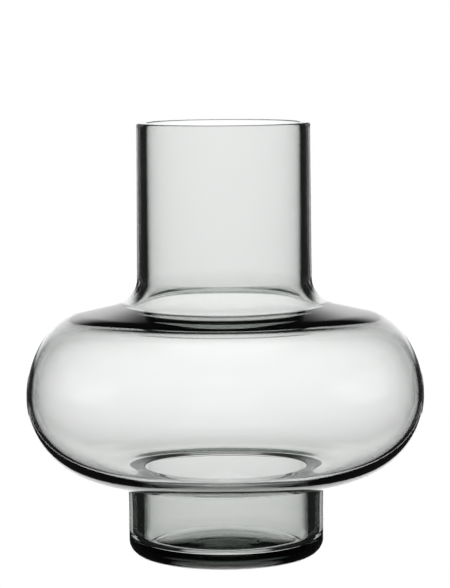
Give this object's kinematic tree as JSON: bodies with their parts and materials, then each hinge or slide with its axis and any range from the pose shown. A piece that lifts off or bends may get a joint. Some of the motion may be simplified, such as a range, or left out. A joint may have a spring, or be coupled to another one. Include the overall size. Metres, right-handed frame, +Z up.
{
  "type": "vase",
  "caption": "Clear blown glass vase with a straight open neck, a wide round body and a low hollow foot on a thick bottom.",
  "frame": {"origin": "on the table, under the middle of the base", "axes": "+Z up along the vase's axis of revolution; X and Y are free, because the vase is round"},
  "size_m": [0.307, 0.307, 0.335],
  "materials": {
    "glass": "clear, fire-polished, faint smoky grey-green tint"
  },
  "bodies": {
    "root": {"neck": "glass", "shoulder": "glass", "bowl": "glass", "foot": "glass", "base": "glass"}
  },
  "joints": []
}
